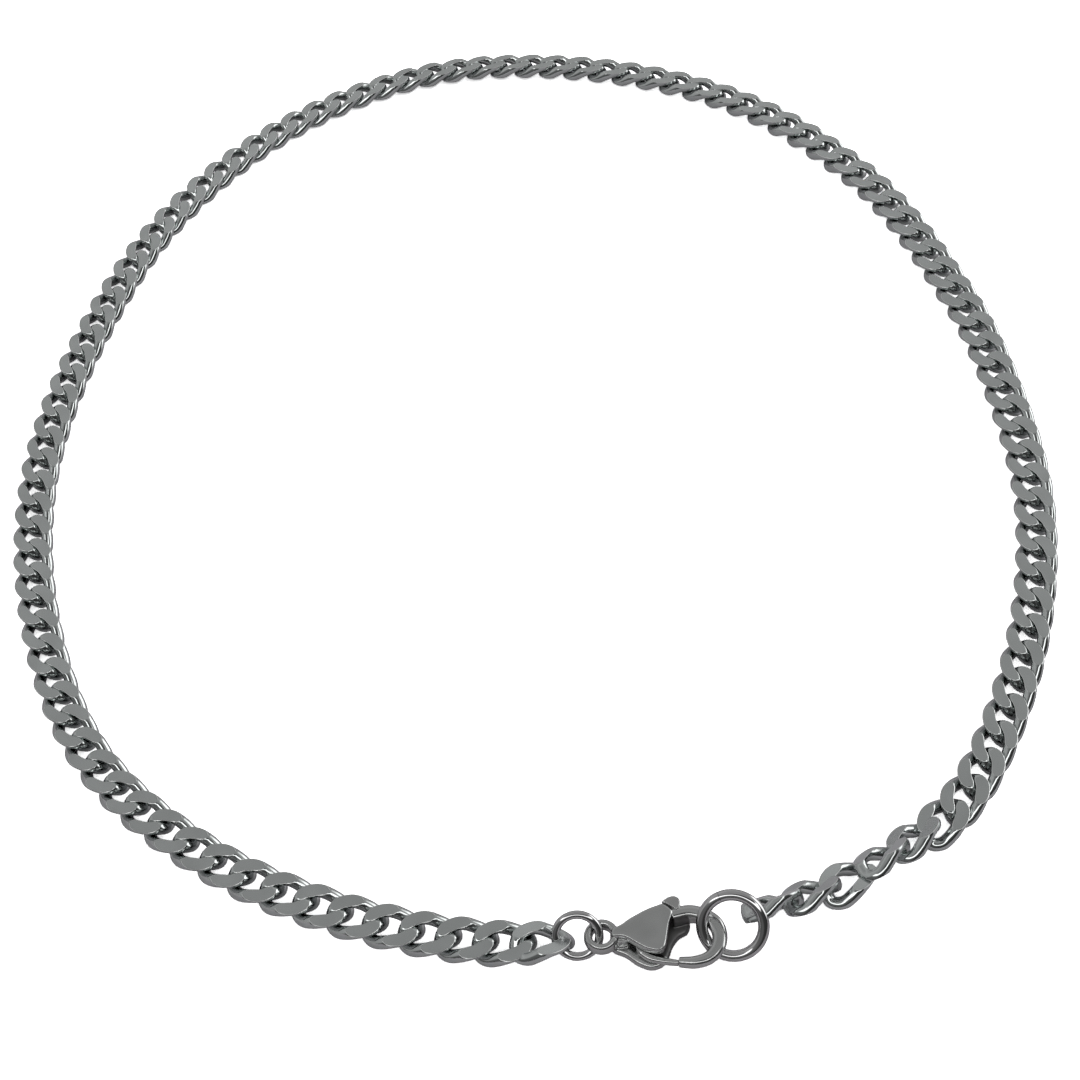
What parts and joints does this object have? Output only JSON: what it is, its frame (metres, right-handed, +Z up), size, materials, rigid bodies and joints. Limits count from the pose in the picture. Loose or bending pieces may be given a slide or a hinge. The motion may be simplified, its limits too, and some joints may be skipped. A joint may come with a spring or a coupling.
{
  "type": "curb chain necklace",
  "caption": "Fastened flat-cut curb chain necklace with a lobster clasp, two jump rings and a spring gate, lying in a loop.",
  "frame": {"origin": "bottom centre of the whole necklace, on the table it lies on", "axes": "+Z up from the table, +Y from the clasp across the loop to the far side, +X to the right seen from the clasp"},
  "size_m": [0.1292, 0.1598, 0.0056],
  "materials": {
    "chain_steel": "polished stainless steel",
    "ring_steel": "polished stainless steel",
    "clasp_steel": "polished stainless steel"
  },
  "bodies": {
    "necklace": {"chain_left": "chain_steel", "chain_right": "chain_steel", "small_jump_ring": "ring_steel", "large_jump_ring": "ring_steel", "clasp_body": "clasp_steel"},
    "lever": {"clasp_lever": "clasp_steel"}
  },
  "joints": [
    {"name": "lever_hinge", "type": "hinge", "parent": "necklace", "child": "lever", "pos_m": [0.00609, -0.07665, 0.00155], "axis": [0, 0, 1], "range_deg": [0, 22], "stiffness_Nm_per_rad": 0.02, "springref_deg": -17.19}
  ]
}
